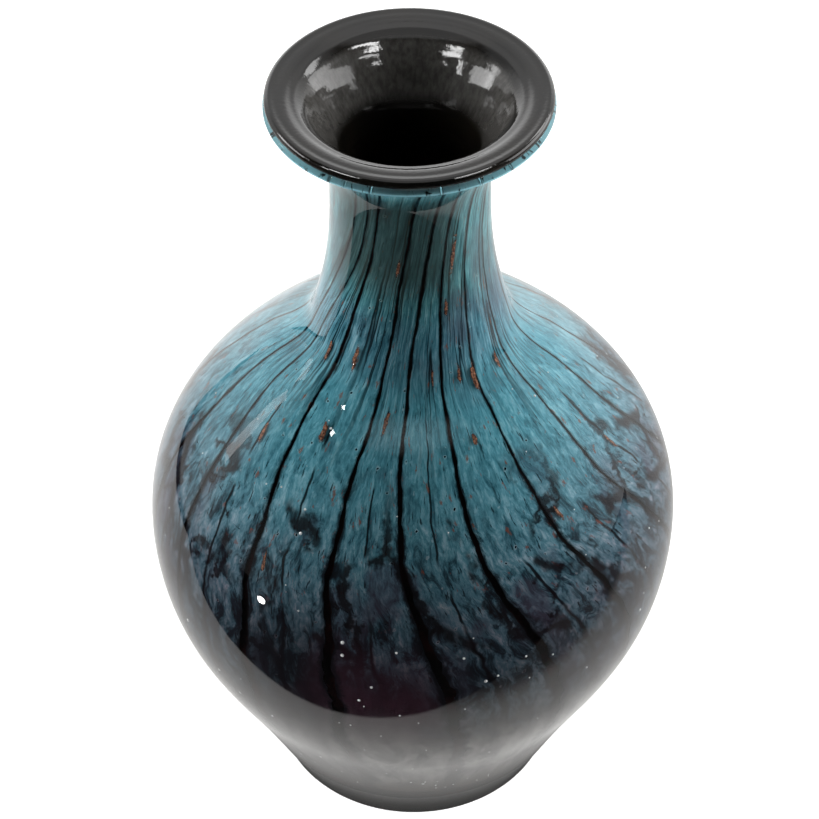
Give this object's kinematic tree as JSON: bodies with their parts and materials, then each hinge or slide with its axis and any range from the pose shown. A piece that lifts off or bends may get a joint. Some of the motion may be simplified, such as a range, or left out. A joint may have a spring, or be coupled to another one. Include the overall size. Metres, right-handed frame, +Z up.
{
  "type": "hand blown art glass vase",
  "caption": "Blown, cased glass vase with a round belly, slim neck and flared lip; crackled turquoise and copper flecks lie between a black lining and a clear casing. Holds flowers.",
  "frame": {"origin": "centre of the foot's underside, on the surface the vase stands on", "axes": "+Z up along the vase's axis; -Y is the pictured front"},
  "size_m": [0.1682, 0.1682, 0.27],
  "materials": {
    "black_glass": "gloss",
    "turquoise_glass": "gloss",
    "copper_glass": "gloss",
    "clear_glass": "gloss"
  },
  "bodies": {
    "root": {"inner_lining": "black_glass", "clear_casing": "clear_glass", "turquoise_neck_01": "turquoise_glass", "turquoise_neck_02": "turquoise_glass", "turquoise_neck_03": "turquoise_glass", "turquoise_neck_04": "turquoise_glass", "turquoise_neck_05": "turquoise_glass", "turquoise_neck_06": "turquoise_glass", "turquoise_neck_07": "turquoise_glass", "turquoise_neck_08": "turquoise_glass", "turquoise_neck_09": "turquoise_glass", "turquoise_neck_10": "turquoise_glass", "turquoise_neck_11": "turquoise_glass", "turquoise_neck_12": "turquoise_glass", "turquoise_neck_13": "turquoise_glass", "turquoise_neck_14": "turquoise_glass", "turquoise_neck_15": "turquoise_glass", "turquoise_neck_16": "turquoise_glass", "turquoise_belly_01": "turquoise_glass", "turquoise_belly_02": "turquoise_glass", "turquoise_belly_03": "turquoise_glass", "turquoise_belly_04": "turquoise_glass", "turquoise_belly_05": "turquoise_glass", "turquoise_belly_06": "turquoise_glass", "turquoise_belly_07": "turquoise_glass", "turquoise_belly_08": "turquoise_glass", "turquoise_belly_09": "turquoise_glass", "turquoise_belly_10": "turquoise_glass", "turquoise_belly_11": "turquoise_glass", "turquoise_belly_12": "turquoise_glass", "turquoise_belly_13": "turquoise_glass", "turquoise_belly_14": "turquoise_glass", "turquoise_belly_15": "turquoise_glass", "turquoise_belly_16": "turquoise_glass", "copper_fleck_01": "copper_glass", "copper_fleck_02": "copper_glass", "copper_fleck_03": "copper_glass", "copper_fleck_04": "copper_glass", "copper_fleck_05": "copper_glass", "copper_fleck_06": "copper_glass", "copper_fleck_07": "copper_glass", "copper_fleck_08": "copper_glass", "copper_fleck_09": "copper_glass", "copper_fleck_10": "copper_glass", "copper_fleck_11": "copper_glass", "copper_fleck_12": "copper_glass", "copper_fleck_13": "copper_glass", "copper_fleck_14": "copper_glass", "copper_fleck_15": "copper_glass", "copper_fleck_16": "copper_glass", "copper_fleck_17": "copper_glass", "copper_fleck_18": "copper_glass", "copper_fleck_19": "copper_glass", "copper_fleck_20": "copper_glass", "copper_fleck_21": "copper_glass", "copper_fleck_22": "copper_glass"}
  },
  "joints": []
}
